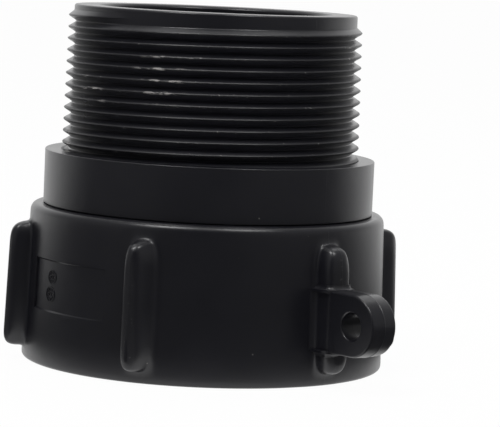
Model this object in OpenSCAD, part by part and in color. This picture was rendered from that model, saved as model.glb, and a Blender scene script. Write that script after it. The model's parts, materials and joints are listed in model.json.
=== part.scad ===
/* [Union nut] */
// Height of the nut from its mouth to its shoulder
nut_height = 31; // [29:0.5:36]
// Radius of the outside wall at the mouth
nut_mouth_r = 36.5; // [35.6:0.1:39]
// Radius of the outside wall just below the shoulder
nut_shoulder_r = 35.7; // [34.8:0.1:38]
// Rounding of the shoulder's outer edge
shoulder_edge_r = 2.4; // [1:0.1:3]
// Rounding of the mouth's outer edge
mouth_edge_r = 0.8; // [0.3:0.1:1.5]

/* [Grip ribs] */
// Number of ribs round the nut
rib_count = 6; // [3:1:8]
// Width of a rib
rib_width = 5.8; // [4:0.1:8]
// Height of a rib over the nut's wall
rib_reach = 4.2; // [2.5:0.1:6]
// Distance from the mouth to the lower end of a rib
rib_from_mouth = 2.4; // [1.5:0.1:4]
// Length of a rib
rib_length = 25.2; // [20:0.2:26]
// Corner radius of a rib's ends, seen from outside
rib_end_r = 2.3; // [0.8:0.1:2.6]
// Rounding of a rib's ends, seen from the side
rib_nose_r = 2.8; // [0.8:0.1:3.4]
// Rounding of a rib's long edges
rib_edge_r = 1.3; // [0.4:0.1:1.8]
// Fillet between a rib and the wall
rib_fillet_r = 1; // [0.4:0.1:1.6]

/* [Seal lug] */
// Direction of the lug, its rib and the mould's parting plane, 0 along +X
lug_angle = -49; // [-90:0.5:90]
// Distance from the nut's axis to the centre of the seal hole
lug_hole_from_axis = 46.4; // [43:0.2:48]
// Height of the seal hole's centre over the mouth
lug_hole_height = 13.2; // [11:0.1:16]
// Radius of the seal hole
lug_hole_r = 2.65; // [1.5:0.05:3.2]
// Radius of the eye round the seal hole
lug_eye_r = 6.1; // [4.6:0.1:7]
// Thickness of the lug
lug_thickness = 6.2; // [6:0.1:9]
// Countersink round both ends of the seal hole
lug_hole_edge = 0.3; // [0.1:0.05:0.6]
// Fillet between the lug and the wall
lug_fillet_r = 2.2; // [1:0.1:3]
// Fillet between the lug and the face of its rib
lug_rib_fillet_r = 0.9; // [0.4:0.1:1.5]

/* [Marking recess] */
// Direction of the recess's first end, 0 along +X
recess_start = -157.5; // [-162:0.5:-150]
// Angle that the recess spans
recess_sweep = 35.5; // [20:0.5:38]
// Height of the recess's lower edge over the mouth
recess_from_mouth = 11.1; // [6:0.1:13]
// Height of the recess
recess_height = 10.2; // [6:0.1:12]
// Depth of the recess
recess_depth = 0.35; // [0.2:0.05:0.8]

/* [Nut inside] */
// Radius over the roots of the coarse female thread
socket_root_r = 30.6; // [30.2:0.1:31.6]
// Radius inside the crests of the coarse female thread
socket_core_r = 28; // [27.2:0.1:28.4]
// Depth of the plain counterbore at the mouth
mouth_depth = 2.4; // [1.5:0.1:4]
// Length of the bevel that leads into the threaded stretch
socket_lead_in = 1.3; // [0.8:0.1:3]
// Thickness of the shoulder that pulls on the spigot
shoulder_thickness = 6.2; // [4.5:0.1:7]
// Radius of the hole that the spigot's neck turns in
neck_hole_r = 27.2; // [26.2:0.1:27.4]

/* [Spigot] */
// Radius of the flow bore
bore_r = 23; // [20:0.1:24]
// Radius of the collar
collar_r = 33.2; // [31:0.1:34]
// Height of the collar
collar_height = 10.6; // [6:0.1:14]
// Bevel of the collar's lower edge
collar_foot_edge = 0.6; // [0.2:0.1:1]
// Bevel of the collar's upper edge
collar_top_edge = 0.25; // [0.1:0.05:0.6]
// Thickness of the lip that snaps in under the shoulder
lip_thickness = 3.4; // [2.5:0.1:3.8]
// Reach of the lip past the hole in the shoulder
lip_overlap = 1.1; // [0.5:0.1:1.5]
// Lead-in bevel of the lip's lower edge
lip_lead = 1.2; // [0.5:0.1:1.6]
// Bevel of the bore's two ends
bore_edge = 0.5; // [0.2:0.1:1]

/* [Male thread] */
// Radius over the crests of the pipe thread
thread_crest_r = 29.7; // [29.4:0.05:29.8]
// Length of the threaded stretch
thread_length = 26.5; // [18:0.5:32]
// Depth of the thread, which the plain lead-in band lies under
thread_depth = 1.3; // [1:0.05:1.48]
// Height of the plain lead-in band
lead_height = 2.6; // [1.5:0.1:5]
// Bevel of the mouth's outer edge
lead_edge = 0.5; // [0.2:0.1:0.9]

/* [Gasket] */
// Thickness of the flat gasket
gasket_thickness = 3; // [2:0.1:3.2]
// Clearance round the gasket on its way in past the coarse thread
gasket_clearance = 0.3; // [0.2:0.05:0.8]
// Clearance between the gasket's inner edge and the flow bore
gasket_inset = 0.4; // [0:0.1:1.5]
// Clear height under the gasket, down to the end of the coarse thread
gasket_room = 1.3; // [0.5:0.1:2]

/* [Clearances] */
// Clearance round the neck
neck_clearance = 0.3; // [0.2:0.05:0.5]
// Clearance over and under the shoulder
swivel_clearance = 0.3; // [0.2:0.05:0.5]

/* [Hidden] */
$fn = 96;
// Overshoot of cuts past the faces that they open
past = 1;
// Ribs nearer to the parting plane than this keep both flanks upright
most_lean = 60;
black_plastic = [0.07, 0.07, 0.08];
black_rubber = [0.03, 0.03, 0.03];

// Heights over the nut's mouth
shoulder_z = nut_height - shoulder_thickness;
lip_top_z = shoulder_z - swivel_clearance;
lip_foot_z = lip_top_z - lip_thickness;
gasket_z = lip_foot_z - gasket_thickness;
thread_end_z = gasket_z - gasket_room;
collar_z = nut_height + swivel_clearance;
thread_z = collar_z + collar_height;
lead_z = thread_z + thread_length;
spigot_top_z = lead_z + lead_height;
rib_middle_z = rib_from_mouth + rib_length / 2;

// Radii
neck_r = neck_hole_r - neck_clearance;
lip_r = neck_hole_r + lip_overlap;
lead_r = thread_crest_r - thread_depth;

// The outside wall leans in by its draft, from the mouth to the shoulder
wall_draft = atan((nut_mouth_r - nut_shoulder_r) / nut_height);
function wall_r(z) = nut_mouth_r - z * tan(wall_draft);

// Half profile of a disc with rounded outer edges and a drafted wall between them
module drafted_disc_profile(height, foot_r, head_r, foot_edge, head_edge) {
    foot = [foot_r - foot_edge, foot_edge];
    head = [head_r - head_edge, height - head_edge];
    span = head - foot;
    // Direction of the wall's normal, where it touches both edge circles
    lean = atan2(span.y, span.x) - 90 - asin((head_edge - foot_edge) / norm(span));
    touch = [cos(lean), sin(lean)];
    polygon([
        [0, 0],
        [foot.x, 0],
        foot + foot_edge * touch,
        head + head_edge * touch,
        [head.x, height],
        [0, height]
    ]);
    translate(foot) circle(foot_edge);
    translate(head) circle(head_edge);
}

// Rectangle from the origin along +X, with the two far corners rounded
module nosed_bar(reach, width, r) {
    translate([0, -width / 2]) square([reach - r, width]);
    translate([0, r - width / 2]) square([reach, width - 2 * r]);
    for (side = [-1, 1])
        translate([reach - r, side * (width / 2 - r)]) circle(r);
}

// Rectangle about the origin with four rounded corners
module rounded_bar(width, length, r) {
    square([width - 2 * r, length], center = true);
    square([width, length - 2 * r], center = true);
    for (x = [-1, 1], y = [-1, 1])
        translate([x * (width / 2 - r), y * (length / 2 - r)]) circle(r);
}

// Outline of a rib seen from above, where the flank on its -Y side leans over by an angle
module leaning_bar(root, sunk, reach, width, r, lean) {
    half = width / 2;
    // Centre of the rounding that touches the front and the leaning flank
    along = (root + reach - r + r * sin(lean)) / cos(lean);
    corner = [reach - r, along * sin(lean) + r * cos(lean) - half];
    polygon([
        [-sunk, half],
        [reach - r, half],
        [reach, half - r],
        [reach, corner.y],
        corner + r * [sin(lean), -cos(lean)],
        [-root, -half],
        [-sunk, -half]
    ]);
    translate([reach - r, half - r]) circle(r);
    translate(corner) circle(r);
}

// Half of the foot of a rib or lug seen from above: a fillet that touches the round wall and a flank
module foot_half(width, fillet, wall) {
    half = width / 2 + fillet;
    centre_x = sqrt(pow(wall + fillet, 2) - pow(half, 2)) - wall;
    difference() {
        translate([-fillet, 0]) square([fillet + centre_x, half]);
        translate([centre_x, half]) circle(fillet);
    }
}

// Foot with a fillet on both sides
module flared_foot(width, fillet, wall) {
    half = width / 2 + fillet;
    centre_x = sqrt(pow(wall + fillet, 2) - pow(half, 2)) - wall;
    difference() {
        translate([-fillet, -half]) square([fillet + centre_x, 2 * half]);
        for (side = [-1, 1])
            translate([centre_x, side * half]) circle(fillet);
    }
}

// Puts a piece drawn on a flat wall at x = 0 on the nut's leaning wall
module on_wall(z) {
    translate([wall_r(z), 0, z]) rotate([0, -wall_draft, 0]) children();
}

// Stands an outline drawn in x and z upright, with a thickness along y
module upright(thickness) {
    rotate([90, 0, 0]) linear_extrude(thickness, center = true) children();
}

// Angle from a rib's direction to the pull of the mould half that forms it
function pull_off(i) = 90 - (i * 360 / rib_count) % 180;

// The flank that would catch in the mould leans over, in line with the pull
function rib_lean(i) = abs(pull_off(i)) > most_lean ? 0 : pull_off(i);

// Rib whose flank on the -Y side leans for an angle over 0, and on the +Y side for one under 0
module grip_rib(lean) {
    if (lean < 0) mirror([0, 1, 0]) rib_with_lean(-lean);
    if (lean >= 0) rib_with_lean(lean);
}

module rib_with_lean(lean) {
    sunk = 2 * rib_fillet_r;
    on_wall(rib_middle_z) {
        intersection() {
            upright(rib_width)
                translate([-sunk, 0]) nosed_bar(rib_reach + sunk, rib_length, rib_nose_r);
            translate([-sunk, 0, 0]) rotate([90, 0, 90])
                linear_extrude(rib_reach + sunk) rounded_bar(rib_width, rib_length, rib_end_r);
            linear_extrude(rib_length, center = true)
                leaning_bar(rib_fillet_r / 2, sunk, rib_reach, rib_width, rib_edge_r, lean);
        }
        linear_extrude(rib_length - 2 * rib_end_r, center = true) {
            if (lean == 0) flared_foot(rib_width, rib_fillet_r, wall_r(rib_middle_z));
            if (lean > 0) foot_half(rib_width, rib_fillet_r, wall_r(rib_middle_z));
        }
    }
}

// Outline of the lug from the side, with its fillets to the rib's face
module lug_side(face_r) {
    translate([lug_hole_from_axis, lug_hole_height]) circle(lug_eye_r);
    translate([wall_r(lug_hole_height) - lug_fillet_r, lug_hole_height - lug_eye_r])
        square([lug_hole_from_axis - wall_r(lug_hole_height) + lug_fillet_r, 2 * lug_eye_r]);
    for (side = [-1, 1])
        translate([face_r, lug_hole_height + side * lug_eye_r])
            difference() {
                translate([-lug_rib_fillet_r, -lug_rib_fillet_r])
                    square(2 * lug_rib_fillet_r);
                translate([lug_rib_fillet_r, side * lug_rib_fillet_r])
                    circle(lug_rib_fillet_r);
            }
}

module seal_lug() {
    face_r = wall_r(lug_hole_height) + rib_reach;
    upright(lug_thickness)
        difference() {
            lug_side(face_r);
            translate([lug_hole_from_axis, lug_hole_height]) circle(lug_hole_r);
        }
    translate([wall_r(lug_hole_height), 0, lug_hole_height])
        linear_extrude(2 * (lug_eye_r - lug_rib_fillet_r), center = true)
            flared_foot(lug_thickness, lug_fillet_r, wall_r(lug_hole_height));
}

// Countersinks at both ends of the seal hole
module seal_hole_edges() {
    for (side = [-1, 1])
        translate([lug_hole_from_axis, side * (lug_thickness / 2 - lug_hole_edge), lug_hole_height])
            rotate([-90 * side, 0, 0])
                cylinder(h = 2 * lug_hole_edge, r1 = lug_hole_r, r2 = lug_hole_r + 2 * lug_hole_edge);
}

// Shallow recess in the wall that such nuts carry their marks in, left bare
module marking_recess() {
    low_z = recess_from_mouth;
    high_z = recess_from_mouth + recess_height;
    rotate([0, 0, recess_start])
        rotate_extrude(angle = recess_sweep)
            polygon([
                [wall_r(low_z) - recess_depth, low_z],
                [wall_r(low_z) + past, low_z],
                [wall_r(high_z) + past, high_z],
                [wall_r(high_z) - recess_depth, high_z]
            ]);
}

// Everything that is cut out of the nut along its axis
module nut_socket() {
    translate([0, 0, -past]) cylinder(h = mouth_depth + past, r = socket_root_r);
    translate([0, 0, mouth_depth])
        cylinder(h = socket_lead_in, r1 = socket_root_r, r2 = socket_core_r);
    cylinder(h = thread_end_z, r = socket_core_r);
    translate([0, 0, thread_end_z]) cylinder(h = shoulder_z - thread_end_z, r = socket_root_r);
    cylinder(h = nut_height + past, r = neck_hole_r);
}

module union_nut() {
    color(black_plastic)
        difference() {
            union() {
                difference() {
                    rotate_extrude()
                        drafted_disc_profile(nut_height, nut_mouth_r, nut_shoulder_r,
                            mouth_edge_r, shoulder_edge_r);
                    marking_recess();
                }
                for (i = [0 : rib_count - 1])
                    rotate([0, 0, lug_angle + i * 360 / rib_count]) grip_rib(rib_lean(i));
                rotate([0, 0, lug_angle]) seal_lug();
            }
            nut_socket();
            rotate([0, 0, lug_angle]) seal_hole_edges();
        }
}

module threaded_spigot() {
    color(black_plastic)
        rotate_extrude()
            polygon([
                [bore_r + bore_edge, lip_foot_z],
                [lip_r - lip_lead, lip_foot_z],
                [lip_r, lip_foot_z + lip_lead],
                [lip_r, lip_top_z],
                [neck_r, lip_top_z],
                [neck_r, collar_z],
                [collar_r - collar_foot_edge, collar_z],
                [collar_r, collar_z + collar_foot_edge],
                [collar_r, thread_z - collar_top_edge],
                [collar_r - collar_top_edge, thread_z],
                [thread_crest_r, thread_z],
                [thread_crest_r, lead_z - thread_depth / 2],
                [lead_r, lead_z],
                [lead_r, spigot_top_z - lead_edge],
                [lead_r - lead_edge, spigot_top_z],
                [bore_r + bore_edge, spigot_top_z],
                [bore_r, spigot_top_z - bore_edge],
                [bore_r, lip_foot_z + bore_edge]
            ]);
}

module flat_gasket() {
    color(black_rubber)
        translate([0, 0, gasket_z])
            difference() {
                cylinder(h = gasket_thickness, r = socket_core_r - gasket_clearance);
                translate([0, 0, -past])
                    cylinder(h = gasket_thickness + 2 * past, r = bore_r + gasket_inset);
            }
}

union_nut();
threaded_spigot();
flat_gasket();
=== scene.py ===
import json
import math

import bmesh
import bpy
from mathutils import Matrix, Vector


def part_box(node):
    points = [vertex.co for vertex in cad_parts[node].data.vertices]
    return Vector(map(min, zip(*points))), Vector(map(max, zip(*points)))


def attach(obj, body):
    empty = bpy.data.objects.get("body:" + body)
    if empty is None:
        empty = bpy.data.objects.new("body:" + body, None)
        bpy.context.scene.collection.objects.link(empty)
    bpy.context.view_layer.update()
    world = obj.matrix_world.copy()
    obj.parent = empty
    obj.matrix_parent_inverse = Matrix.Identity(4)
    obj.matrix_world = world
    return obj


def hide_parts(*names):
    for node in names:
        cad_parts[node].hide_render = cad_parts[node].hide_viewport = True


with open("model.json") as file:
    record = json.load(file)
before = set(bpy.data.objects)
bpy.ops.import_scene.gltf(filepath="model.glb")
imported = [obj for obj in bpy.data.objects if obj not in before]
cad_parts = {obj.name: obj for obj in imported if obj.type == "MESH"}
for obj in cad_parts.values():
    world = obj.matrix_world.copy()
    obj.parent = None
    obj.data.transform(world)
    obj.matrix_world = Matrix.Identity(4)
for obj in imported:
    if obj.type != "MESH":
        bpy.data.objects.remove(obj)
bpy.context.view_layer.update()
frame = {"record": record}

MM = 0.001
mounts = {mount["name"]: mount for mount in frame["record"]["mounts"]}


def mount_radius(name):
    return mounts[name]["dims"]["r_mm"] * MM


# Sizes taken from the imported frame
_, nut_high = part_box("union_nut")
spigot_low, spigot_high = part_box("threaded_spigot")
gasket_low, gasket_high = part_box("flat_gasket")
nut_top_z = nut_high.z
spigot_foot_z = spigot_low.z
spigot_top_z = spigot_high.z
collar_r = spigot_high.x
gasket_r = gasket_high.x
bore_r = mount_radius("flow_bore")
crest_r = mount_radius("male_thread")
socket_r = mount_radius("socket_mouth")
coarse_crest_r = mount_radius("coarse_female_thread")
seal_hole_r = mount_radius("seal_hole")
seal_hole_at = Vector(mounts["seal_hole"]["pos_m"])
lug_angle = math.degrees(math.atan2(seal_hole_at.y, seal_hole_at.x))
lug_hole_x = math.hypot(seal_hole_at.x, seal_hole_at.y)
coarse_thread_top_z = mounts["coarse_female_thread"]["pos_m"][2] + (
    mounts["coarse_female_thread"]["dims"]["length_mm"] * MM
)

# Nut, outside
nut_mouth_r = 36.5 * MM
nut_shoulder_r = 35.7 * MM
mouth_edge_r = 0.8 * MM
shoulder_edge_r = 1.4 * MM
rib_count = 6
rib_half_width = 2.9 * MM
rib_reach = 4.2 * MM
rib_low_z = 2.4 * MM
rib_high_z = 27.6 * MM
rib_edge_r = 1.3 * MM
rib_top_nose_r = 2.8 * MM
rib_foot_nose_r = 2.1 * MM
rib_top_corner_r = 2.4 * MM
rib_foot_corner_r = 2.8 * MM
rib_fillet = 1.3 * MM
# How far a corner's middle lies inside its square, as a share of its radius
corner_share = 0.293
recess_low_z = 11.1 * MM
recess_high_z = 21.3 * MM
recess_mid_z = (recess_low_z + recess_high_z) / 2
# Degrees from the rib before the recess to its start, and from its start to its end
recess_from_rib = 11.5
recess_sweep = 35.5
recess_start = lug_angle - 2 * 360 / rib_count + recess_from_rib
recess_columns = 8
recess_depth = 0.4 * MM
recess_slope = 0.3 * MM
dial_height = 0.1 * MM
# Radius, degrees from the recess's start, and height of each dial
dials = (1.45 * MM, 11.3, 18 * MM), (1.6 * MM, 10.7, 14.6 * MM)
dial_ticks = 12
dial_tick_width = 0.14 * MM
dial_rim_width = 0.2 * MM
dial_hub_width = 0.15 * MM
# How far a dial's rings reach down below the recess's floor
dial_sunk = 0.2 * MM

# Nut, inside
mouth_depth = 2.4 * MM
neck_hole_r = 27.2 * MM
shoulder_under_z = 24.8 * MM
coarse_pitch = 6 * MM
coarse_root_r = 30.4 * MM
coarse_root_half = 0.9 * MM
coarse_crest_half = 0.45 * MM
coarse_bevel = 0.3 * MM
coarse_lead = 1.3 * MM
coarse_turns = 5
inside_steps = 120

# Seal lug
lug_eye_r = 6.1 * MM
lug_half = 3.1 * MM
lug_draft = 0.12 * MM
lug_edge_r = 0.4 * MM
lug_flash = 0.06 * MM
lug_fillet_r = 1.3 * MM
lug_rib_fillet_r = 0.9 * MM
lug_hole_edge_r = 0.3 * MM
# How far the foot's flare stays inside the lug's top and bottom
lug_foot_inset = 0.35 * MM
# How far inside the wall the foot's fillets end, the foot's back lies and the plate starts
lug_foot_sunk = 0.012 * MM
lug_foot_back = 1.8 * MM
lug_plate_back = 2.4 * MM

# Spigot
lip_r = 28.3 * MM
lip_top_z = 24.5 * MM
lip_lead = 1.2 * MM
neck_r = 26.9 * MM
collar_z = nut_top_z + 0.14 * MM
thread_z = 41.9 * MM
lead_r = 28.4 * MM
thread_pitch = 25.4 * MM / 11
thread_depth = 1.479 * MM
# The crests widen by this share of the height towards the collar
thread_draft = 0.0156
# Where a crest crosses the left side, and where the last turn fades out
crest_at_left_z = 68.7 * MM
thread_end_angle = 234
thread_fade_angle = 28
rim_edge_r = 0.45 * MM
spigot_edge_r = 0.2 * MM
spigot_steps = 160
# Turns below the crest at the left side, all turns, and points in one turn
thread_turns_below = 13
thread_turns = 15
thread_steps = 128

# Gasket
gasket_hole_r = bore_r + 0.4 * MM
gasket_edge_r = 0.25 * MM
gasket_steps = 128

# Parting seams: direction, 0 along +X, how strongly they show, and the radius that they start at
nut_seam = lug_angle, 0.25, 33 * MM
spigot_seam = -47, 0.18, 25 * MM

# Wear: the radius that is scuffed, the spot that is scuffed most, and how much
nut_wear = nut_mouth_r + rib_reach - 0.6 * MM, (0.04, 0, 0.02), 0.2
spigot_wear = crest_r - 0.05 * MM, (-0.0102, -0.0279, 0.0585), 0.8

# Colours and finish
nut_colours = (0.0072, 0.0072, 0.0102), (0.0115, 0.0115, 0.0158)
spigot_colours = (0.0086, 0.0086, 0.0116), (0.0138, 0.0138, 0.0182)
dust_colour = (0.32, 0.31, 0.29)
scuff_colour = (0.5, 0.48, 0.46)
rubber_colours = (0.008, 0.008, 0.008), (0.014, 0.014, 0.014)
plastic_gloss = 0.6
rubber_gloss = 0.35
nut_roughness = 0.31
spigot_roughness = 0.3
rubber_roughness = 0.62
# Edges that turn by more degrees than this are shaded as sharp
sharp_angle = 32

# Studio
softboxes = (
    ("left_softbox", (-0.32, -0.38, 0.87), (0.28, 0.28), 3.0),
    ("right_softbox", (0.29, -0.4, 0.87), (0.28, 0.28), 2.4),
    ("top_softbox", (0, 0.3, 0.9), (0.8, 0.5), 2.0),
)
side_light = 0.26
back_light = 0.9
floor_white = 0.97
floor_dimmest = 0.06


def wall_radius(z):
    """Radius of the nut's drafted wall at a height."""
    return nut_mouth_r + (nut_shoulder_r - nut_mouth_r) * z / nut_top_z


def arc(centre, radius, start, end, segments):
    """Points along an arc of an outline, with its angles in degrees."""
    angles = [math.radians(start + (end - start) * i / segments) for i in range(segments + 1)]
    return [(centre[0] + radius * math.cos(a), centre[1] + radius * math.sin(a)) for a in angles]


def draw_outline(bm, points, closed=False):
    """Draws an outline of radius and height in the half plane through +X."""
    verts = [bm.verts.new((x, 0, z)) for x, z in points]
    pairs = list(zip(verts, verts[1:]))
    if closed:
        pairs.append((verts[-1], verts[0]))
    return verts + [bm.edges.new(pair) for pair in pairs]


def lathe(bm, points, steps, closed=False):
    """Turns an outline once about the axis."""
    bmesh.ops.spin(
        bm,
        geom=draw_outline(bm, points, closed),
        cent=(0, 0, 0),
        axis=(0, 0, 1),
        angle=math.tau,
        steps=steps,
        use_merge=True,
    )


def wind(bm, points, pitch, turns, steps):
    """Winds one turn of a thread's outline upwards, and stacks and joins copies of the turn."""
    bmesh.ops.spin(
        bm,
        geom=draw_outline(bm, points),
        cent=(0, 0, 0),
        axis=(0, 0, 1),
        dvec=(0, 0, pitch / steps),
        angle=math.tau,
        steps=steps,
    )
    turn = everything(bm)
    for i in range(1, turns):
        copied = bmesh.ops.duplicate(bm, geom=turn)["geom"]
        bmesh.ops.translate(bm, verts=only(copied, bmesh.types.BMVert), vec=(0, 0, i * pitch))
    bmesh.ops.remove_doubles(bm, verts=bm.verts, dist=0.002 * MM)


def everything(bm):
    return bm.verts[:] + bm.edges[:] + bm.faces[:]


def only(geom, kind):
    return [item for item in geom if isinstance(item, kind)]


def level_cut(bm, z, clear_below=False, clear_above=False):
    """Cuts through everything at a height, and may clear one side away."""
    bmesh.ops.bisect_plane(
        bm,
        geom=everything(bm),
        dist=0.0005 * MM,
        plane_co=(0, 0, z),
        plane_no=(0, 0, 1),
        clear_inner=clear_below,
        clear_outer=clear_above,
    )


def extrude(bm, faces):
    """Extrudes faces that border on others, and gives the new points and faces."""
    edges = list({edge for face in faces for edge in face.edges})
    grown = bmesh.ops.extrude_face_region(bm, geom=faces + edges)["geom"]
    return only(grown, bmesh.types.BMVert), only(grown, bmesh.types.BMFace)


def fill_between_rims(bm, z):
    """Fills the flat ring between the two open rims at a height."""
    near = 0.01 * MM
    bmesh.ops.triangle_fill(bm, edges=rims(bm, z - near, z + near), use_beauty=True)


def rims(bm, low, high):
    """The open edges whose ends lie between two heights."""
    return [
        edge
        for edge in bm.edges
        if edge.is_boundary and all(low <= vert.co.z <= high for vert in edge.verts)
    ]


def set_radius(vert, radius):
    scale = radius / math.hypot(vert.co.x, vert.co.y)
    vert.co.x *= scale
    vert.co.y *= scale


def angle_of(point):
    return math.degrees(math.atan2(point.y, point.x))


def off_angle(point, angle):
    """Angle of a point from a direction, from -180 to 180 degrees."""
    return (angle_of(point) - angle + 180) % 360 - 180


def clamped(x, low, high):
    return min(max(x, low), high)


def smoothstep(x):
    x = clamped(x, 0, 1)
    return x * x * (3 - 2 * x)


def as_piece(bm, name, material, body, node_name):
    """Turns a bmesh into a finished piece, with its faces looking outwards."""
    bmesh.ops.recalc_face_normals(bm, faces=bm.faces)
    mesh = bpy.data.meshes.new(name)
    bm.to_mesh(mesh)
    bm.free()
    return finish_piece(mesh, name, material, body, node_name)


def finish_piece(mesh, name, material, body, node_name):
    """Makes a mesh a shaded piece on its body, shown in place of its node."""
    mesh.shade_smooth()
    mesh.set_sharp_from_angle(angle=math.radians(sharp_angle))
    mesh.materials.clear()
    mesh.materials.append(material)
    piece = bpy.data.objects.new(name, mesh)
    bpy.context.scene.collection.objects.link(piece)
    flat_first = piece.modifiers.new("Flat faces first", "WEIGHTED_NORMAL")
    flat_first.keep_sharp = True
    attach(piece, body)
    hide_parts(node_name)
    return piece


def join_in(bm, other):
    """Copies another bmesh into this one, and frees it."""
    mesh = bpy.data.meshes.new("joined_in")
    other.to_mesh(mesh)
    other.free()
    bm.from_mesh(mesh)
    bpy.data.meshes.remove(mesh)


def loose_object(bm, name):
    """Puts a bmesh in an object that is only a step on the way to a piece."""
    mesh = bpy.data.meshes.new(name)
    bm.to_mesh(mesh)
    bm.free()
    made = bpy.data.objects.new(name, mesh)
    bpy.context.scene.collection.objects.link(made)
    return made


def applied(made):
    """Mesh of an object with its modifiers applied, and the object removed."""
    depsgraph = bpy.context.evaluated_depsgraph_get()
    mesh = bpy.data.meshes.new_from_object(made.evaluated_get(depsgraph), depsgraph=depsgraph)
    bpy.data.objects.remove(made)
    return mesh


def crease_between(bm, first, second):
    """Creases the edges where a face of one set meets a face of the other."""
    layer = bm.edges.layers.float.get("crease_edge") or bm.edges.layers.float.new("crease_edge")
    first, second = set(first), set(second)
    for edge in bm.edges:
        faces = edge.link_faces
        if len(faces) == 2 and (
            (faces[0] in first and faces[1] in second) or (faces[1] in first and faces[0] in second)
        ):
            edge[layer] = 1.0


# Nut


def across(width):
    """Angle in degrees that a width takes up on the wall."""
    return math.degrees(width / nut_mouth_r)


# Angles from a rib's middle to its quarter, its edge and the end of its fillet
rib_columns = [across(0.5 * rib_half_width), across(rib_half_width), across(rib_half_width + rib_fillet)]
# Heights of the rows of faces up the wall
wall_rows = [
    rib_low_z,
    rib_low_z + rib_foot_nose_r,
    recess_low_z - 2.6 * MM,
    recess_low_z,
    recess_mid_z,
    recess_high_z,
    rib_high_z - rib_top_nose_r,
    rib_high_z,
]


def nut_outline():
    """Outside of the nut, from inside its mouth, up the wall and in over the shoulder."""
    foot = (nut_mouth_r - mouth_edge_r, mouth_edge_r)
    head = (nut_shoulder_r - shoulder_edge_r, nut_top_z - shoulder_edge_r)
    points = [(socket_r + 0.6 * MM, 0), (foot[0] - 2 * MM, 0)]
    points += arc(foot, mouth_edge_r, -90, 0, 3)
    points += [(wall_radius(z), z) for z in wall_rows]
    points += arc(head, shoulder_edge_r, 0, 90, 4)
    points += [(head[0] - 2 * MM, nut_top_z), (neck_hole_r + 0.8 * MM, nut_top_z)]
    return points


def spun_wall(bm):
    """Spins the outline round, with columns set close at each rib's edges."""
    start = lug_angle - rib_columns[2]
    geom = draw_outline(bm, nut_outline())
    bmesh.ops.rotate(bm, verts=bm.verts, cent=(0, 0, 0), matrix=Matrix.Rotation(math.radians(start), 3, "Z"))
    sixth = 360 / rib_count
    past_rib = recess_from_rib - rib_columns[2]
    stretches = [rib_columns[2] - rib_columns[1], rib_columns[1] - rib_columns[0]]
    stretches += [rib_columns[0]] * 2
    stretches += [rib_columns[1] - rib_columns[0], rib_columns[2] - rib_columns[1]]
    stretches += [past_rib]
    stretches += [recess_sweep / recess_columns] * recess_columns
    stretches += [sixth - sum(stretches)]
    for _ in range(rib_count):
        for sweep in stretches:
            spun = bmesh.ops.spin(
                bm,
                geom=geom,
                cent=(0, 0, 0),
                axis=(0, 0, 1),
                angle=math.radians(sweep),
                steps=1,
            )
            geom = spun["geom_last"]
    bmesh.ops.remove_doubles(bm, verts=bm.verts, dist=0.01 * MM)


def corner_drop(along, r):
    """How far an arc of radius r falls, a distance past where it starts."""
    along = clamped(along, 0, r)
    return r - math.sqrt(r * r - along * along)


def wall_faces(bm, angle, half_angle, low, high):
    """The wall's faces within an angle of a direction and between two heights."""
    found = []
    for face in bm.faces:
        middle = face.calc_center_median()
        if (
            middle.xy.length > socket_r
            and low < middle.z < high
            and abs(off_angle(middle, angle)) < half_angle
            and abs(face.normal.z) < 0.5
        ):
            found.append(face)
    return found


def raise_rib(bm, angle, lean):
    """Raises a rib in layers, each shorter and narrower by its rounding, with one leaning flank."""
    direction = Vector((math.cos(math.radians(angle)), math.sin(math.radians(angle)), 0))
    side = Vector((-direction.y, direction.x, 0))
    middle_z = (rib_low_z + rib_high_z) / 2
    faces = wall_faces(bm, angle, across(rib_half_width), rib_low_z, rib_high_z)
    round_corners(faces, side)
    slope = math.tan(math.radians(lean))
    done = 0
    for height in (rib_fillet, rib_reach - rib_edge_r, rib_reach - 0.3 * rib_edge_r, rib_reach):
        verts, faces = extrude(bm, faces)
        bmesh.ops.translate(bm, verts=verts, vec=direction * (height - done))
        first, last = flanks(height, slope)
        old_first, old_last = flanks(done, slope)
        for vert in verts:
            beside = vert.co.dot(side)
            share = (beside - old_first) / (old_last - old_first)
            vert.co += side * (first + (last - first) * share - beside)
            nose = rib_top_nose_r if vert.co.z > middle_z else rib_foot_nose_r
            half = (rib_high_z - rib_low_z) / 2
            share = narrowing(height, rib_reach, half, nose) / narrowing(done, rib_reach, half, nose)
            vert.co.z = middle_z + (vert.co.z - middle_z) * share
        done = height


def flanks(height, slope):
    """Places of a rib's two flanks at a height, of which one may lean."""
    half = narrowing(height, rib_reach, rib_half_width, rib_edge_r)
    return max(slope, 0) * height - half, half + min(slope, 0) * height


def pull_off(i):
    """Angle from a rib's direction to the pull of the mould half that forms it."""
    return 90 - (i * 360 / rib_count) % 180


def narrowing(height, reach, half, edge):
    """Half size left at a height on a rib whose outer edge is rounded."""
    return half - corner_drop(height - (reach - edge), edge)


def round_corners(faces, side):
    """Rounds the rib's four corners, and the ring of wall round them, before it is raised."""
    verts = {vert for face in faces for vert in face.verts}
    for vert in verts:
        beside = vert.co.dot(side)
        for end_z, corner, up in (
            (rib_high_z, rib_top_corner_r, 1),
            (rib_low_z, rib_foot_corner_r, -1),
        ):
            if abs(vert.co.z - end_z) > 0.01 * MM:
                continue
            sign = 1 if beside > 0 else -1
            if abs(beside) > 0.9 * rib_half_width:
                vert.co -= side * sign * corner_share * corner
                vert.co.z -= up * corner_share * corner
            else:
                vert.co.z -= up * corner_drop(abs(beside) - (rib_half_width - corner), corner)


def recess_depth_at(along):
    """Depth of the recess, which all but runs out at its end, some degrees from its start."""
    return recess_depth * (1 - 0.97 * along / recess_sweep)


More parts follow.
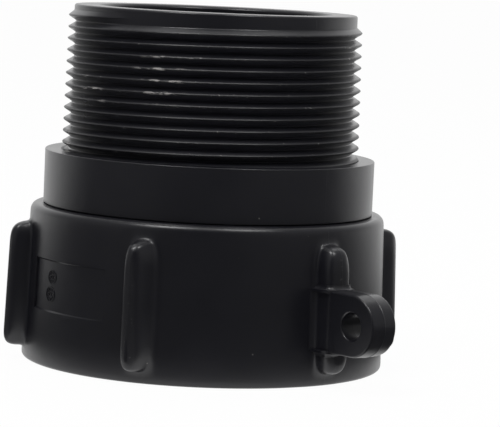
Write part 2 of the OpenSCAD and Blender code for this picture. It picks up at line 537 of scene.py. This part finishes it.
def sink_recess(bm):
    """Sinks the shallow recess into the wall, with crisp edges and sloping sides."""
    angle = recess_start + recess_sweep / 2
    faces = wall_faces(bm, angle, recess_sweep / 2, recess_low_z, recess_high_z)
    verts, floor = extrude(bm, faces)
    for vert in verts:
        along = off_angle(vert.co, recess_start)
        set_radius(vert, vert.co.xy.length - recess_depth_at(along))
        if abs(vert.co.z - recess_mid_z) > 1 * MM:
            vert.co.z += recess_slope if vert.co.z < recess_mid_z else -recess_slope
    steps = {face for part in floor for edge in part.edges for face in edge.link_faces} - set(floor)
    rest = set(bm.faces) - steps - set(floor)
    crease_between(bm, floor, steps)
    crease_between(bm, steps, rest)
    layer = bm.edges.layers.float.get("crease_edge")
    for face in steps:
        for edge in face.edges:
            if all(other in steps for other in edge.link_faces) and is_recess_corner(edge, angle):
                edge[layer] = 1.0


def is_recess_corner(edge, angle):
    middle = (edge.verts[0].co + edge.verts[1].co) / 2
    at_side = abs(abs(off_angle(middle, angle)) - recess_sweep / 2) < 0.5
    at_end = min(abs(middle.z - recess_low_z), abs(middle.z - recess_high_z)) < 0.6 * recess_slope
    return at_side and at_end


def coarse_thread():
    """The coarse female thread, with a bevel at each end that runs out to the plain bore."""
    bm = bmesh.new()
    half = coarse_pitch / 2
    rise = [
        (coarse_root_r, 0),
        (coarse_root_r, coarse_root_half),
        (coarse_root_r - 0.15 * MM, coarse_root_half + coarse_bevel),
        (coarse_crest_r + coarse_bevel, half - coarse_crest_half - coarse_bevel),
        (coarse_crest_r, half - coarse_crest_half),
    ]
    turn = rise + [(x, coarse_pitch - z) for x, z in reversed(rise)]
    shift = mouth_depth - 1.6 * coarse_pitch
    wind(bm, [(x, z + shift) for x, z in turn], coarse_pitch, coarse_turns, inside_steps)
    slope = (socket_r - coarse_crest_r) / coarse_lead
    for vert in bm.verts:
        lead = socket_r - (vert.co.z - mouth_depth) * slope
        end = socket_r - (coarse_thread_top_z - vert.co.z) * 3 * slope
        set_radius(vert, max(vert.co.xy.length, lead, end))
    level_cut(bm, mouth_depth, clear_below=True)
    level_cut(bm, coarse_thread_top_z, clear_above=True)
    return bm


def nut_inside(bm):
    """Mouth, coarse thread, gasket chamber and neck hole of the nut."""
    join_in(bm, coarse_thread())
    near = 0.2 * MM
    edge = 0.3 * MM
    steps = inside_steps
    lathe(bm, [(socket_r + edge, 0), (socket_r, edge), (socket_r, mouth_depth - near)], steps)
    lathe(
        bm,
        [
            (socket_r, coarse_thread_top_z + near),
            (socket_r, shoulder_under_z),
            (neck_hole_r, shoulder_under_z),
            (neck_hole_r, nut_top_z - edge),
            (neck_hole_r + edge, nut_top_z),
        ],
        steps,
    )
    for z in (mouth_depth, coarse_thread_top_z):
        bmesh.ops.bridge_loops(bm, edges=rims(bm, z - 1.1 * near, z + 1.1 * near))


def placed_on_lug(bm):
    """Turns what was drawn in the plane through +X to the lug's direction."""
    bmesh.ops.rotate(
        bm, verts=bm.verts, cent=(0, 0, 0), matrix=Matrix.Rotation(math.radians(lug_angle), 3, "Z")
    )


def seal_lug():
    """The lug's plate, in two drafted halves that meet in a fine ridge at the parting plane."""
    bm = bmesh.new()
    centre = Vector((lug_hole_x, 0, seal_hole_at.z))
    root_x = nut_shoulder_r - lug_plate_back
    eye = arc((centre.x, centre.z), lug_eye_r, 90, -90, 40)
    outline = [(root_x, eye[0][1])] + eye + [(root_x, eye[-1][1])]
    middle = bm.faces.new([bm.verts.new((x, 0, z)) for x, z in outline])
    grown = bmesh.ops.extrude_face_region(bm, geom=[middle])["geom"]
    bmesh.ops.delete(bm, geom=[middle], context="FACES_ONLY")
    outer = only(grown, bmesh.types.BMVert)
    bmesh.ops.translate(bm, verts=outer, vec=(0, lug_half, 0))
    for vert in outer:
        widen(vert, centre, -lug_draft)
    outer_edges = {edge for face in only(grown, bmesh.types.BMFace) for edge in face.edges}
    bevel(bm, list(outer_edges), lug_edge_r, 3)
    bmesh.ops.bisect_plane(
        bm,
        geom=everything(bm),
        dist=0.0005 * MM,
        plane_co=(0, 2 * lug_flash, 0),
        plane_no=(0, 1, 0),
    )
    for vert in bm.verts:
        if vert.co.y < lug_flash:
            widen(vert, centre, lug_flash)
    bmesh.ops.mirror(bm, geom=everything(bm), axis="Y", merge_dist=0.001 * MM)
    bmesh.ops.remove_doubles(bm, verts=bm.verts, dist=0.002 * MM)
    bmesh.ops.recalc_face_normals(bm, faces=bm.faces)
    placed_on_lug(bm)
    return loose_object(bm, "seal_lug")


def widen(vert, centre, growth):
    """Moves a point of the lug's edge out from the eye's centre, and leaves the root in place."""
    out = vert.co - centre
    vert.co.z += growth * out.z / lug_eye_r
    vert.co.x += growth * max(out.x, 0) / lug_eye_r


def seal_hole():
    """The hole through the lug with its rounded ends, as a solid to cut with."""
    bm = bmesh.new()
    end = lug_half + 1 * MM
    edge_r = lug_hole_edge_r
    mouth = arc((seal_hole_r + edge_r, lug_half - edge_r), edge_r, 90, 180, 4)
    half = [(0, end), (mouth[0][0], end)] + mouth
    lathe(bm, half + [(x, -y) for x, y in reversed(half)], 64)
    bmesh.ops.remove_doubles(bm, verts=bm.verts, dist=0.002 * MM)
    bmesh.ops.recalc_face_normals(bm, faces=bm.faces)
    at_hole = Matrix.Translation((lug_hole_x, 0, seal_hole_at.z))
    bmesh.ops.transform(bm, verts=bm.verts, matrix=at_hole @ Matrix.Rotation(math.pi / 2, 4, "X"))
    placed_on_lug(bm)
    return loose_object(bm, "seal_hole")


def bevel(bm, edges, offset, segments):
    bmesh.ops.bevel(
        bm,
        geom=edges,
        offset=offset,
        offset_type="OFFSET",
        segments=segments,
        profile=0.5,
        affect="EDGES",
        material=-1,
        clamp_overlap=True,
    )


def prism(bm, points, vector):
    """Face through the points, pushed along a vector into a closed solid."""
    face = bm.faces.new([bm.verts.new(point) for point in points])
    grown = bmesh.ops.extrude_face_region(bm, geom=[face], use_keep_orig=True)["geom"]
    bmesh.ops.translate(bm, verts=only(grown, bmesh.types.BMVert), vec=vector)
    bmesh.ops.recalc_face_normals(bm, faces=bm.faces)


def lug_foot():
    """The lug's flared foot, whose fillets run out on the wall."""
    bm = bmesh.new()
    z = seal_hole_at.z
    low_z = z - lug_eye_r + lug_foot_inset
    high_z = z + lug_eye_r - lug_foot_inset
    wall = wall_radius(low_z) - lug_foot_sunk
    half = lug_half + lug_fillet_r
    centre_x = math.sqrt((wall + lug_fillet_r) ** 2 - half**2)
    on_wall = 180 + math.degrees(math.atan2(half, centre_x))
    flank = arc((centre_x, half), lug_fillet_r, 270, on_wall, 8)
    root = [(wall - lug_foot_back, flank[-1][1])]
    side = [(centre_x + 1 * MM, lug_half)] + flank + root
    points = [(x, y, low_z) for x, y in side] + [(x, -y, low_z) for x, y in reversed(side)]
    lean = wall_radius(high_z) - wall_radius(low_z)
    prism(bm, points, (lean, 0, high_z - low_z))
    placed_on_lug(bm)
    return loose_object(bm, "lug_foot")


def lug_skirt(up):
    """Fillet round the rib where it meets the lug's edge, above or below the lug."""
    bm = bmesh.new()
    sunk = 0.05 * MM
    inset = 0.02 * MM
    edge_z = seal_hole_at.z + up * (lug_eye_r - sunk)
    inner_x = wall_radius(edge_z) - 2 * MM
    outer_x = wall_radius(edge_z) + rib_reach - rib_edge_r - inset
    half = rib_half_width - rib_edge_r - inset
    radius = rib_edge_r + lug_rib_fillet_r
    points = arc((inner_x, half), radius, 180, 90, 6) + arc((outer_x, half), radius, 90, 0, 6)
    points += [(x, -y) for x, y in reversed(points)]
    face = bm.faces.new([bm.verts.new((x, y, edge_z - up * 0.5 * MM)) for x, y in points])
    steps = 6
    for i in range(steps + 1):
        grown = bmesh.ops.extrude_face_region(bm, geom=[face])["geom"]
        if i > 0:
            bmesh.ops.delete(bm, geom=[face], context="FACES_ONLY")
        face = only(grown, bmesh.types.BMFace)[0]
        slope = math.radians(90 * i / steps)
        for vert in face.verts:
            corner = Vector((clamped(vert.co.x, inner_x, outer_x), clamped(vert.co.y, -half, half)))
            reach = radius - lug_rib_fillet_r * math.sin(slope)
            vert.co.xy = corner + (vert.co.xy - corner).normalized() * reach
            vert.co.z = edge_z + up * lug_rib_fillet_r * (1 - math.cos(slope))
    bmesh.ops.recalc_face_normals(bm, faces=bm.faces)
    placed_on_lug(bm)
    return loose_object(bm, "lug_skirt")


def recess_dials():
    """Two plain dials that stand up a little from the recess's floor."""
    bm = bmesh.new()
    upright = math.pi / 2 - math.atan((nut_mouth_r - nut_shoulder_r) / nut_top_z)
    for radius, off_start, z in dials:
        dial = bmesh.new()
        for r, width in ((radius, dial_rim_width), (0.3 * radius, dial_hub_width)):
            ring = [
                (r - width, -dial_sunk),
                (r - 0.8 * width, dial_height),
                (r - 0.2 * width, dial_height),
                (r, -dial_sunk),
            ]
            lathe(dial, ring, 40, closed=True)
        size = Matrix.Diagonal((0.28 * radius, dial_tick_width, 2 * dial_height, 1))
        out = Matrix.Translation((0.62 * radius, 0, 0))
        for i in range(dial_ticks):
            turn = Matrix.Rotation(math.radians(360 / dial_ticks * i), 4, "Z")
            bmesh.ops.create_cube(dial, size=1, matrix=turn @ out @ size)
        angle = math.radians(recess_start + off_start)
        floor_r = wall_radius(z) - recess_depth_at(off_start)
        facing = Matrix.Rotation(angle, 4, "Z") @ Matrix.Translation((floor_r, 0, z))
        bmesh.ops.transform(dial, verts=dial.verts, matrix=facing @ Matrix.Rotation(upright, 4, "Y"))
        join_in(bm, dial)
    bmesh.ops.recalc_face_normals(bm, faces=bm.faces)
    return loose_object(bm, "recess_dials")


def nut_shell():
    """Outside and inside of the nut, joined at the mouth and at the neck hole."""
    cage = bmesh.new()
    spun_wall(cage)
    bmesh.ops.recalc_face_normals(cage, faces=cage.faces)
    for i in range(rib_count):
        on_parting = abs(pull_off(i)) == 90
        raise_rib(cage, lug_angle + i * 360 / rib_count, 0 if on_parting else pull_off(i))
    sink_recess(cage)
    shell = loose_object(cage, "nut_cage")
    smooth = shell.modifiers.new("Moulded", "SUBSURF")
    smooth.levels = 2
    smooth.render_levels = 2
    bm = bmesh.new()
    bm.from_mesh(applied(shell))
    nut_inside(bm)
    near = 0.01 * MM
    for z in (0, nut_top_z):
        bmesh.ops.bridge_loops(bm, edges=rims(bm, z - near, z + near))
    bmesh.ops.recalc_face_normals(bm, faces=bm.faces)
    return loose_object(bm, "nut_shell")


def make_nut(material):
    nut = nut_shell()
    added = [seal_lug(), lug_foot(), lug_skirt(1), lug_skirt(-1), recess_dials()]
    cut = [seal_hole()]
    for part in added + cut:
        joint = nut.modifiers.new(part.name, "BOOLEAN")
        joint.operation = "DIFFERENCE" if part in cut else "UNION"
        joint.solver = "MANIFOLD"
        joint.object = part
    mesh = applied(nut)
    for part in added + cut:
        bpy.data.objects.remove(part)
    return finish_piece(mesh, "swivel_nut", material, "nut", "union_nut")


# Spigot


def male_thread_outline():
    """One turn of the pipe thread, from a root over the crest to the next root, as shares."""
    rise = [(0, 0), (0.04, 0.03), (0.09, 0.1), (0.4, 0.87), (0.45, 0.96)]
    fall = [(1 - x, y) for x, y in reversed(rise)]
    return rise + [(0.5, 1)] + fall


def shape_male_thread(bm):
    """Gives every point of the wound strip its radius, and lets the last turn fade out."""
    for vert in bm.verts:
        share = vert.co.xy.length / MM - 1
        turn = (angle_of(vert.co) - thread_end_angle) % 360 + thread_end_angle - 360
        last_z = crest_at_left_z + thread_pitch * (turn - 180) / 360
        crest = crest_r + thread_draft * ((thread_z + crest_at_left_z) / 2 - vert.co.z)
        root = crest - thread_depth
        fade = smoothstep((thread_end_angle - turn) / thread_fade_angle)
        base = root
        if vert.co.z > last_z:
            base = lead_r
        elif vert.co.z > last_z - thread_pitch:
            base = lead_r + (root - lead_r) * fade
        if vert.co.z > last_z + thread_pitch / 2:
            share = 0
        elif vert.co.z > last_z - thread_pitch / 2:
            share *= fade
        set_radius(vert, base + (crest - base) * share)


def male_thread():
    """The pipe thread and the lead band with its rounded rim, open at both ends."""
    bm = bmesh.new()
    start_z = crest_at_left_z - thread_turns_below * thread_pitch
    points = [((1 + y) * MM, start_z + x * thread_pitch) for x, y in male_thread_outline()]
    wind(bm, points, thread_pitch, thread_turns, thread_steps)
    shape_male_thread(bm)
    level_cut(bm, thread_z, clear_below=True)
    rim_z = spigot_top_z - rim_edge_r
    for _, z in arc((0, rim_z), rim_edge_r, 0, 67.5, 3):
        level_cut(bm, z)
    level_cut(bm, spigot_top_z, clear_above=True)
    for vert in bm.verts:
        set_radius(vert, vert.co.xy.length - corner_drop(vert.co.z - rim_z, rim_edge_r))
    return bm


def spigot_outline():
    """From the collar's top by the thread, down round the lip and up the bore to the rim."""
    edge = 0.5 * MM
    near = 0.3 * MM
    return [
        (crest_r + near, thread_z),
        (collar_r, thread_z),
        (collar_r, collar_z),
        (neck_r, collar_z),
        (neck_r, lip_top_z),
        (lip_r, lip_top_z),
        (lip_r, spigot_foot_z + lip_lead),
        (lip_r - lip_lead, spigot_foot_z),
        (bore_r + edge, spigot_foot_z),
        (bore_r, spigot_foot_z + edge),
        (bore_r, spigot_top_z - edge),
        (bore_r + edge, spigot_top_z),
        (lead_r - rim_edge_r - near, spigot_top_z),
    ]


def make_spigot(material):
    bm = bmesh.new()
    lathe(bm, spigot_outline(), spigot_steps)
    bmesh.ops.recalc_face_normals(bm, faces=bm.faces)
    corners = [
        edge
        for edge in bm.edges
        if len(edge.link_faces) == 2 and edge.calc_face_angle() > math.radians(25)
    ]
    bevel(bm, corners, spigot_edge_r, 3)
    join_in(bm, male_thread())
    for z in (thread_z, spigot_top_z):
        fill_between_rims(bm, z)
    return as_piece(bm, "male_spigot", material, "spigot", "threaded_spigot")


def make_gasket(material):
    bm = bmesh.new()
    outline = [
        (gasket_hole_r, gasket_low.z),
        (gasket_r, gasket_low.z),
        (gasket_r, gasket_high.z),
        (gasket_hole_r, gasket_high.z),
    ]
    lathe(bm, outline, gasket_steps, closed=True)
    bmesh.ops.recalc_face_normals(bm, faces=bm.faces)
    corners = [edge for edge in bm.edges if edge.calc_face_angle() > math.radians(60)]
    bevel(bm, corners, gasket_edge_r, 3)
    return as_piece(bm, "rubber_gasket", material, "spigot", "flat_gasket")


# Finishes


def new_group(name, inputs, outputs):
    """Node group with named sockets and their defaults, and its two end nodes."""
    group = bpy.data.node_groups.new(name, "ShaderNodeTree")
    for label, default in inputs.items():
        kind = "NodeSocketVector" if default is None else "NodeSocketFloat"
        socket = group.interface.new_socket(label, in_out="INPUT", socket_type=kind)
        if default is not None:
            socket.default_value = default
    for label in outputs:
        kind = "NodeSocketVector" if label == "Normal" else "NodeSocketFloat"
        group.interface.new_socket(label, in_out="OUTPUT", socket_type=kind)
    return group, group.nodes.new("NodeGroupInput"), group.nodes.new("NodeGroupOutput")


def node(tree, kind, links=(), **settings):
    """Adds a node, sets its properties and plain inputs, and links the rest."""
    made = tree.nodes.new("ShaderNode" + kind)
    for name, value in settings.items():
        setattr(made, name, value)
    for socket, value in dict(links).items():
        if isinstance(value, bpy.types.NodeSocket):
            tree.links.new(value, made.inputs[socket])
        else:
            made.inputs[socket].default_value = value
    return made


def math_node(tree, operation, first, second=0.0, third=0.0):
    return node(tree, "Math", {0: first, 1: second, 2: third}, operation=operation).outputs[0]


def ramp(tree, value, low, high):
    """Value as a share of the way from low to high, smoothly and clamped."""
    links = {"Value": value, "From Min": low, "From Max": high}
    return node(tree, "MapRange", links, interpolation_type="SMOOTHSTEP").outputs["Result"]


def noise(tree, place, scale, detail=2.0, roughness=0.5):
    links = {"Vector": place, "Scale": scale, "Detail": detail, "Roughness": roughness}
    return node(tree, "TexNoise", links).outputs["Fac"]


def grain_group():
    """Fine grain of a moulded surface as a normal, and slow mottling as a value."""
    sockets = {"Place": None, "Strength": 0.1}
    group, given, out = new_group("moulded_grain", sockets, ["Normal", "Mottling"])
    place = given.outputs["Place"]
    fine = noise(group, place, 5200, detail=3.0, roughness=0.6)
    broad = noise(group, place, 420, detail=3.0, roughness=0.55)
    height = math_node(group, "ADD", fine, math_node(group, "MULTIPLY", broad, 2.2))
    links = {"Strength": given.outputs["Strength"], "Distance": 0.05 * MM, "Height": height}
    bump = node(group, "Bump", links)
    group.links.new(bump.outputs["Normal"], out.inputs["Normal"])
    mottling = noise(group, place, 90, detail=4.0, roughness=0.6)
    group.links.new(mottling, out.inputs["Mottling"])
    return group


def dust_group():
    """Mask of tiny specks of dust, few and scattered."""
    group, given, out = new_group("dust_specks", {"Place": None, "Amount": 0.5}, ["Mask"])
    place = given.outputs["Place"]
    cells = node(group, "TexVoronoi", {"Vector": place, "Scale": 300.0, "Randomness": 1.0})
    chosen = node(group, "SeparateColor", {"Color": cells.outputs["Color"]}).outputs["Red"]
    speck = ramp(group, cells.outputs["Distance"], 0.055, 0.02)
    share = math_node(group, "MULTIPLY", given.outputs["Amount"], 0.2)
    few = math_node(group, "GREATER_THAN", chosen, math_node(group, "SUBTRACT", 1.0, share))
    group.links.new(math_node(group, "MULTIPLY", speck, few), out.inputs["Mask"])
    return group


def scuff_group():
    """Mask of fine specks all round, and of short pale scuffs, most of them near one spot."""
    group, given, out = new_group("scuffs", {"Place": None, "Spot": None, "Amount": 0.5}, ["Mask"])
    place = given.outputs["Place"]
    parts = node(group, "SeparateXYZ", {"Vector": place}).outputs
    angle = math_node(group, "ARCTAN2", parts["Y"], parts["X"])
    along = math_node(group, "MULTIPLY", angle, crest_r)
    unrolled = node(group, "CombineXYZ", {"X": along, "Y": math_node(group, "MULTIPLY", parts["Z"], 3.0)})
    streak = noise(group, unrolled.outputs[0], 420, detail=4.0, roughness=0.7)
    off_spot = node(group, "VectorMath", {0: place, 1: given.outputs["Spot"]}, operation="DISTANCE")
    near = ramp(group, off_spot.outputs["Value"], 7 * MM, 2 * MM)
    stray = ramp(group, noise(group, place, 70, detail=1.0), 0.6, 0.7)
    patch = math_node(group, "MAXIMUM", near, stray)
    both = math_node(group, "MULTIPLY", ramp(group, streak, 0.5, 0.6), patch)
    specks = math_node(group, "MULTIPLY", ramp(group, noise(group, place, 1900), 0.66, 0.76), 0.5)
    either = math_node(group, "MAXIMUM", both, specks)
    group.links.new(math_node(group, "MULTIPLY", either, given.outputs["Amount"]), out.inputs["Mask"])
    return group


def seam_group():
    """Height of the two parting seams of a moulding, at an angle and opposite it."""
    group, given, out = new_group("parting_seam", {"Place": None, "Angle": 0.0}, ["Height"])
    parts = node(group, "SeparateXYZ", {"Vector": given.outputs["Place"]}).outputs
    off_y = math_node(group, "MULTIPLY", parts["X"], math_node(group, "SINE", given.outputs["Angle"]))
    off_x = math_node(group, "MULTIPLY", parts["Y"], math_node(group, "COSINE", given.outputs["Angle"]))
    distance = math_node(group, "ABSOLUTE", math_node(group, "SUBTRACT", off_x, off_y))
    group.links.new(ramp(group, distance, 0.16 * MM, 0.03 * MM), out.inputs["Height"])
    return group


def use_group(tree, group, place, label, value):
    """Uses a group at a place, with one of its inputs set, and gives its outputs."""
    made = tree.nodes.new("ShaderNodeGroup")
    made.node_tree = group
    tree.links.new(place, made.inputs["Place"])
    made.inputs[label].default_value = value
    return made.outputs


def mixed_colour(tree, share, first, second):
    made = tree.nodes.new("ShaderNodeMix")
    made.data_type = "RGBA"
    sockets = {socket.name: socket for socket in made.inputs if socket.enabled}
    for name, value in (("Factor", share), ("A", first), ("B", second)):
        if isinstance(value, bpy.types.NodeSocket):
            tree.links.new(value, sockets[name])
        else:
            sockets[name].default_value = value if name == "Factor" else (*value, 1)
    return next(socket for socket in made.outputs if socket.enabled)


def new_material(name, gloss):
    """Material with its tree, its shader and the place on the piece."""
    material = bpy.data.materials.new(name)
    material.use_nodes = True
    tree = material.node_tree
    shader = tree.nodes["Principled BSDF"]
    shader.inputs["Specular IOR Level"].default_value = gloss
    place = tree.nodes.new("ShaderNodeTexCoord").outputs["Object"]
    return material, tree, shader, place


def moulded_plastic(name, groups, colours, roughness, seam, wear):
    """Black moulded polypropylene: grain, mottling, parting seams, dust, and scuffs near a radius."""
    material, tree, shader, place = new_material(name, plastic_gloss)
    seam_angle, seam_strength, seam_from_r = seam
    worn_r, worn_at, amount = wear
    grain = use_group(tree, groups["grain"], place, "Strength", 0.16)
    dust = use_group(tree, groups["dust"], place, "Amount", 0.7)["Mask"]
    scuffs = use_group(tree, groups["scuffs"], place, "Amount", amount)["Mask"]
    scuffs.node.inputs["Spot"].default_value = worn_at
    height = use_group(tree, groups["seam"], place, "Angle", math.radians(seam_angle))["Height"]
    parts = node(tree, "SeparateXYZ", {"Vector": place}).outputs
    flat = node(tree, "CombineXYZ", {"X": parts["X"], "Y": parts["Y"]})
    radius = node(tree, "VectorMath", {0: flat.outputs[0]}, operation="LENGTH").outputs["Value"]
    raised = ramp(tree, radius, worn_r - 0.45 * MM, worn_r)
    not_past = math_node(tree, "LESS_THAN", radius, worn_r + 0.4 * MM)
    rubbed = math_node(tree, "MULTIPLY", raised, not_past)
    worn = math_node(tree, "MULTIPLY", scuffs, rubbed)
    outside = math_node(tree, "GREATER_THAN", radius, seam_from_r)
    height = math_node(tree, "MULTIPLY", height, outside)
    base = mixed_colour(tree, grain["Mottling"], *colours)
    dusty = mixed_colour(tree, math_node(tree, "MULTIPLY", dust, 0.6), base, dust_colour)
    colour = mixed_colour(tree, worn, dusty, scuff_colour)
    tree.links.new(colour, shader.inputs["Base Color"])
    satin = math_node(tree, "MULTIPLY_ADD", grain["Mottling"], 0.12, roughness - 0.06)
    dulled = math_node(tree, "MULTIPLY_ADD", rubbed, 0.16, satin)
    rough = math_node(tree, "MAXIMUM", dulled, math_node(tree, "MULTIPLY", worn, 0.7))
    tree.links.new(rough, shader.inputs["Roughness"])
    links = {"Strength": seam_strength, "Distance": 0.06 * MM, "Height": height, "Normal": grain["Normal"]}
    tree.links.new(node(tree, "Bump", links).outputs["Normal"], shader.inputs["Normal"])
    return material


def gasket_rubber(groups):
    """Matt black rubber with a fine grain and a little dust."""
    material, tree, shader, place = new_material("black_rubber", rubber_gloss)
    grain = use_group(tree, groups["grain"], place, "Strength", 0.3)
    dust = use_group(tree, groups["dust"], place, "Amount", 0.5)["Mask"]
    base = mixed_colour(tree, grain["Mottling"], *rubber_colours)
    colour = mixed_colour(tree, math_node(tree, "MULTIPLY", dust, 0.5), base, dust_colour)
    tree.links.new(colour, shader.inputs["Base Color"])
    rough = math_node(tree, "MULTIPLY_ADD", grain["Mottling"], 0.15, rubber_roughness)
    tree.links.new(rough, shader.inputs["Roughness"])
    tree.links.new(grain["Normal"], shader.inputs["Normal"])
    return material


# Studio


def studio_floor():
    """Pale floor: white for the camera, and in reflections white near the object and behind it."""
    bm = bmesh.new()
    bmesh.ops.create_grid(bm, x_segments=1, y_segments=1, size=4)
    bmesh.ops.translate(bm, verts=bm.verts, vec=(0, 0, -0.02 * MM))
    floor = loose_object(bm, "studio_floor")
    material, tree, shader, place = new_material("pale_floor", 0.2)
    shader.inputs["Base Color"].default_value = (0.9, 0.9, 0.9, 1)
    shader.inputs["Roughness"].default_value = 0.8
    path = node(tree, "LightPath").outputs
    reach = node(tree, "VectorMath", {0: place}, operation="LENGTH").outputs["Value"]
    depth = node(tree, "SeparateXYZ", {"Vector": place}).outputs["Y"]
    near = ramp(tree, reach, 54 * MM, 45 * MM)
    behind = ramp(tree, depth, 0, 250 * MM)
    pale = math_node(tree, "MAXIMUM", math_node(tree, "MAXIMUM", near, behind), floor_dimmest)
    reflected = math_node(tree, "MULTIPLY", path["Is Glossy Ray"], pale)
    strength = math_node(tree, "ADD", path["Is Camera Ray"], reflected)
    glow = node(tree, "Emission", {"Strength": strength}).outputs[0]
    share = math_node(tree, "MULTIPLY_ADD", path["Is Camera Ray"], floor_white, path["Is Glossy Ray"])
    mix = node(tree, "MixShader", {0: share, 1: shader.outputs[0], 2: glow})
    tree.links.new(mix.outputs[0], tree.nodes["Material Output"].inputs["Surface"])
    floor.data.materials.append(material)


def studio_world():
    """White for the camera, and round the object bright behind it and dim on the camera's side."""
    world = bpy.data.worlds.new("studio")
    bpy.context.scene.world = world
    world.use_nodes = True
    tree = world.node_tree
    direction = node(tree, "TexCoord").outputs["Generated"]
    depth = node(tree, "SeparateXYZ", {"Vector": direction}).outputs["Y"]
    sides = math_node(tree, "MULTIPLY", ramp(tree, depth, -1.0, -0.7), side_light)
    back = math_node(tree, "MULTIPLY", ramp(tree, depth, 0.15, 1.05), back_light)
    around = math_node(tree, "ADD", sides, back)
    white = node(tree, "LightPath").outputs["Is Camera Ray"]
    strength = math_node(tree, "MAXIMUM", around, white)
    tree.links.new(strength, tree.nodes["Background"].inputs["Strength"])
    tree.nodes["Background"].inputs["Color"].default_value = (1, 1, 1, 1)


def softbox(name, place, size, power):
    light = bpy.data.lights.new(name, "AREA")
    light.shape = "RECTANGLE"
    light.size, light.size_y = size
    light.energy = power
    box = bpy.data.objects.new(name, light)
    bpy.context.scene.collection.objects.link(box)
    target = Vector((0, 0, 0.035))
    box.location = place
    box.rotation_euler = (target - Vector(place)).to_track_quat("-Z", "Y").to_euler()


def studio_camera():
    """The photograph's view: almost level, from 0.55 m, slightly turned, tipped and rolled."""
    distance, height = 551.2 * MM, 85.8 * MM
    yaw, pitch, roll = math.radians(0.893), math.radians(5.763), math.radians(2.62)
    focal, picture_width = 2739, 500
    camera = bpy.data.cameras.new("camera")
    camera.sensor_width = 36
    camera.lens = camera.sensor_width * focal / picture_width
    camera.clip_start = 0.01
    seen = bpy.data.objects.new("camera", camera)
    bpy.context.scene.collection.objects.link(seen)
    turn = Matrix.Rotation(-yaw, 4, "Z") @ Matrix.Rotation(math.pi / 2 - pitch, 4, "X")
    seen.matrix_world = Matrix.Translation((0, -distance, height)) @ turn @ Matrix.Rotation(roll, 4, "Z")
    bpy.context.scene.camera = seen


groups = {"grain": grain_group(), "dust": dust_group(), "scuffs": scuff_group(), "seam": seam_group()}
nut_finish = moulded_plastic("black_nut", groups, nut_colours, nut_roughness, nut_seam, nut_wear)
spigot_look = spigot_colours, spigot_roughness, spigot_seam, spigot_wear
spigot_finish = moulded_plastic("black_spigot", groups, *spigot_look)

make_nut(nut_finish)
make_spigot(spigot_finish)
make_gasket(gasket_rubber(groups))

studio_floor()
studio_world()
for box in softboxes:
    softbox(*box)
studio_camera()
bpy.context.scene.view_settings.view_transform = "Standard"
